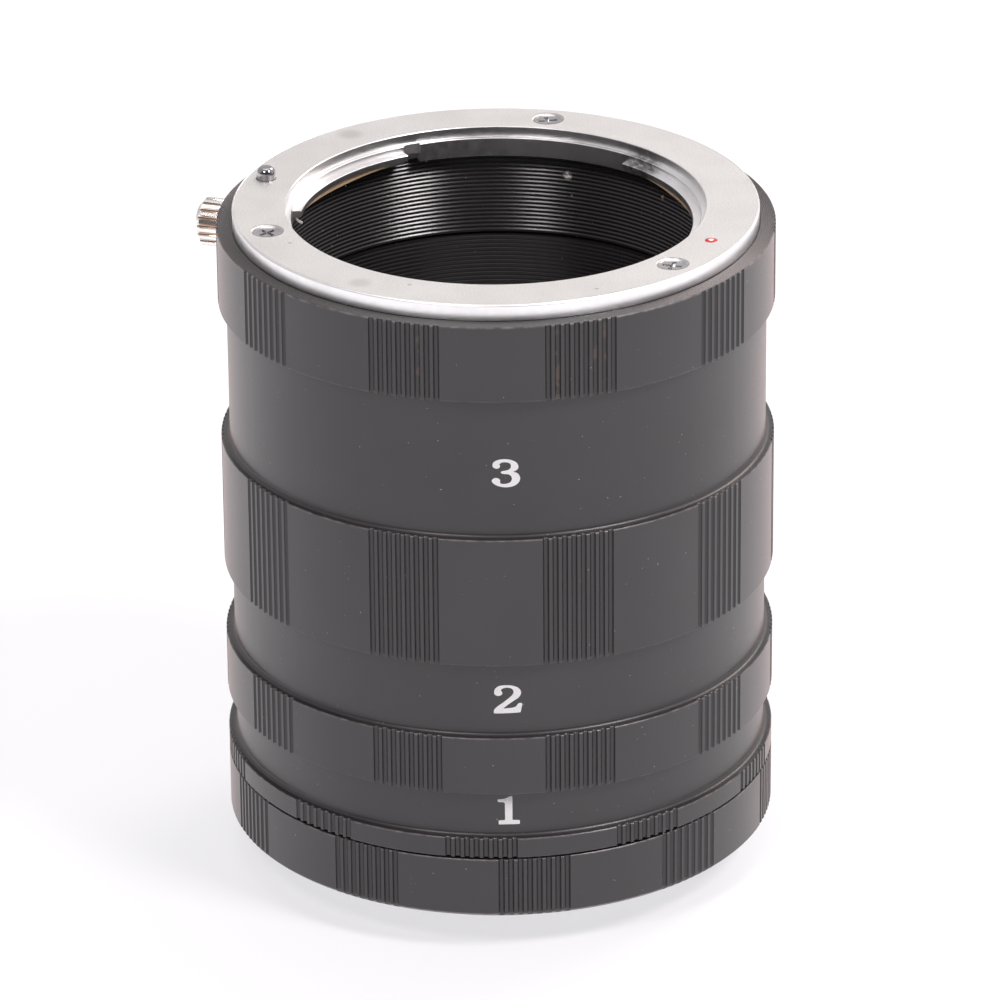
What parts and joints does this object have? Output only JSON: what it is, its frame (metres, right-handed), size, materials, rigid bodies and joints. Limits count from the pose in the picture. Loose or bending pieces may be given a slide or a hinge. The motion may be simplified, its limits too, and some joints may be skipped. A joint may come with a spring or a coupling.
{
  "type": "macro extension tube",
  "caption": "Stacked macro extension tube with screw-together knurled rings, a female bayonet with a sprung lens lock on top and a male bayonet below.",
  "frame": {"origin": "on the optical axis at the free end of the male bayonet barrel, where the part stands", "axes": "+Z along the optical axis towards the lens; -Y is the side with the ring numbers, the front of the picture; -X is the side of the release knob"},
  "size_m": [0.0578, 0.0554, 0.0702],
  "materials": {
    "black_anodised": "black anodised, fine turned and lightly blasted, satin",
    "satin_chrome": "satin chromed brass, fine turned face",
    "polished_chrome": "bright plated steel",
    "bronze_leaf": "rolled phosphor bronze strip",
    "red_enamel": "glossy red bead",
    "slider_brass": "milled brass",
    "spring_steel": "drawn spring wire"
  },
  "bodies": {
    "camera_mount": {"camera_mount_body": "black_anodised", "camera_bayonet": "satin_chrome", "bayonet_screw_1": "polished_chrome", "bayonet_screw_2": "polished_chrome", "bayonet_screw_3": "polished_chrome"},
    "tube_ring_1": {"ring_1": "black_anodised"},
    "tube_ring_2": {"ring_2": "black_anodised"},
    "tube_ring_3": {"ring_3": "black_anodised"},
    "lens_mount": {"lens_mount_body": "black_anodised", "lens_flange": "satin_chrome", "flange_screw_1": "polished_chrome", "flange_screw_2": "polished_chrome", "flange_screw_3": "polished_chrome", "bayonet_spring_1": "bronze_leaf", "bayonet_spring_2": "bronze_leaf", "bayonet_spring_3": "bronze_leaf", "index_bead": "red_enamel", "lock_spring": "spring_steel"},
    "lens_lock": {"lock_pin": "polished_chrome", "release_slider": "slider_brass", "release_knob": "polished_chrome"}
  },
  "joints": [
    {"name": "ring_1_thread", "type": "hinge", "parent": "camera_mount", "child": "tube_ring_1", "pos_m": [0, 0, 0.0105], "axis": [0, 0, 1], "range_deg": [0, 1080]},
    {"name": "ring_2_thread", "type": "hinge", "parent": "tube_ring_1", "child": "tube_ring_2", "pos_m": [0, 0, 0.0175], "axis": [0, 0, 1], "range_deg": [0, 1080]},
    {"name": "ring_3_thread", "type": "hinge", "parent": "tube_ring_2", "child": "tube_ring_3", "pos_m": [0, 0, 0.0315], "axis": [0, 0, 1], "range_deg": [0, 1080]},
    {"name": "lens_mount_thread", "type": "hinge", "parent": "tube_ring_3", "child": "lens_mount", "pos_m": [0, 0, 0.0595], "axis": [0, 0, 1], "range_deg": [0, 1080]},
    {"name": "lens_release", "type": "slide", "parent": "lens_mount", "child": "lens_lock", "axis": [0, 0, -1], "range_m": [0, 0.0014], "stiffness_N_per_m": 300, "springref_m": -0.004, "deforming": ["lock_spring"]}
  ]
}
